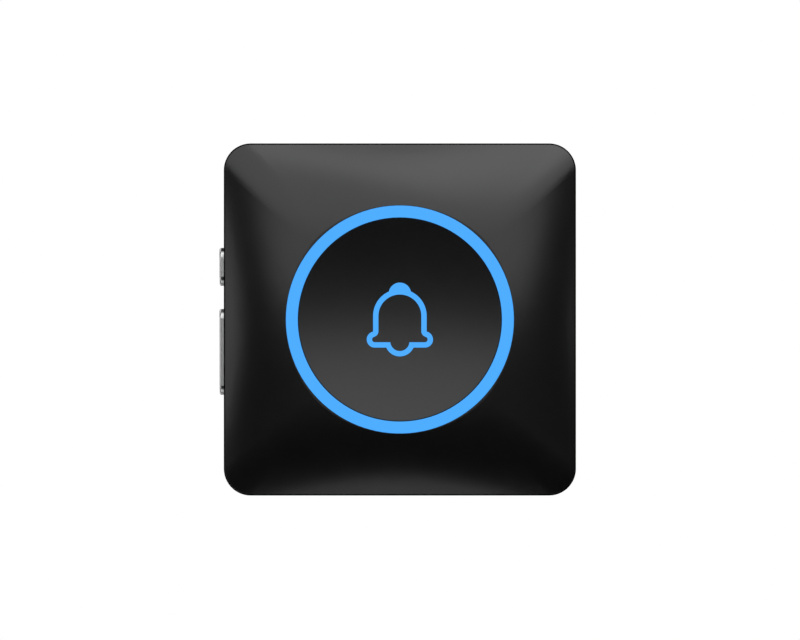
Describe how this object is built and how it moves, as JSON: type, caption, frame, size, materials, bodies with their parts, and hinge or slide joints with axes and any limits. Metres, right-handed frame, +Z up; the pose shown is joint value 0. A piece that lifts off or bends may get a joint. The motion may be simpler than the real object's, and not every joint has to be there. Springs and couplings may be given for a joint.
{
  "type": "doorbell chime",
  "caption": "Square pillow-shaped plug-in doorbell chime with a lit ring around a dished push disc with a bell outline, and a short and a long key on its left edge.",
  "frame": {"origin": "middle of the plug's engagement face, between the two pins", "axes": "+X to the right seen from the front, +Y into the wall along the pins, +Z up; the front faces -Y"},
  "size_m": [0.081, 0.0645, 0.08],
  "materials": {
    "black_shell": "satin moulded plastic",
    "black_cover": "fine textured moulded plastic",
    "blue_light_guide": "translucent blue, lit from behind",
    "smoked_disc": "satin to gloss dark plastic",
    "silver_key": "silver metallic plating",
    "steel": "plain",
    "silicone": "soft moulded silicone",
    "circuit_board": "green solder mask",
    "white_plastic": "moulded",
    "tinned_brass": "tinned",
    "lamp_package": "moulded lamp package",
    "chip_black": "moulded",
    "copper_wire": "enamelled wire",
    "power_board_tan": "paper laminate",
    "capacitor_yellow": "moulded",
    "ferrite": "sintered",
    "coil_tape": "polyester tape",
    "capacitor_sleeve": "heat-shrink sleeve",
    "resistor_green": "lacquered",
    "foam": "closed-cell foam",
    "speaker_paper": "coated paper",
    "lead_insulation": "wire insulation",
    "plated_brass": "nickel plated"
  },
  "bodies": {
    "housing": {"front_shell": "black_shell", "rear_cover": "black_cover", "light_ring": "blue_light_guide", "rocker_pin": "steel", "melody_dome": "silicone", "volume_domes": "silicone", "side_keypad": "silicone", "side_key_board": "circuit_board", "key_bracket": "white_plastic", "key_link_pins": "tinned_brass", "main_board": "circuit_board", "ring_leds": "lamp_package", "bell_leds": "lamp_package", "light_box": "white_plastic", "face_dome": "silicone", "processor_chip": "chip_black", "memory_chip": "chip_black", "amplifier_chip": "chip_black", "crystal": "steel", "radio_board": "circuit_board", "radio_shield": "steel", "antenna": "copper_wire", "power_board": "power_board_tan", "bridge_rectifier": "chip_black", "power_chip": "chip_black", "suppression_capacitor": "capacitor_yellow", "transformer_core": "ferrite", "transformer_coil": "coil_tape", "bulk_capacitors": "capacitor_sleeve", "output_capacitor": "capacitor_sleeve", "filter_choke": "ferrite", "fuse_resistor": "resistor_green", "link_header": "chip_black", "link_pins": "tinned_brass", "speaker_gasket": "foam", "speaker_frame": "black_cover", "speaker_cone": "speaker_paper", "speaker_magnet": "steel", "speaker_socket": "white_plastic", "speaker_leads": "lead_insulation", "plug_pins": "plated_brass", "pin_sleeves": "black_cover", "case_screws": "steel", "board_screws": "steel", "power_screws": "steel"},
    "face_button": {"face_cap": "smoked_disc", "bell_inlay": "blue_light_guide"},
    "melody_key": {"melody_button": "silver_key"},
    "volume_key": {"volume_rocker": "silver_key"}
  },
  "joints": [
    {"name": "face_press", "type": "slide", "parent": "housing", "child": "face_button", "axis": [0, 1, 0], "range_m": [0, 0.0006], "stiffness_N_per_m": 2500, "springref_m": -0.0006, "deforming": ["face_dome"]},
    {"name": "melody_press", "type": "slide", "parent": "housing", "child": "melody_key", "axis": [1, 0, 0], "range_m": [0, 0.00035], "stiffness_N_per_m": 3000, "springref_m": -0.0003, "deforming": ["melody_dome"]},
    {"name": "volume_rock", "type": "hinge", "parent": "housing", "child": "volume_key", "pos_m": [-0.0359, -0.03, -0.00737], "axis": [0, 1, 0], "range_deg": [-2, 2], "stiffness_Nm_per_rad": 0.6, "deforming": ["volume_domes"]}
  ]
}
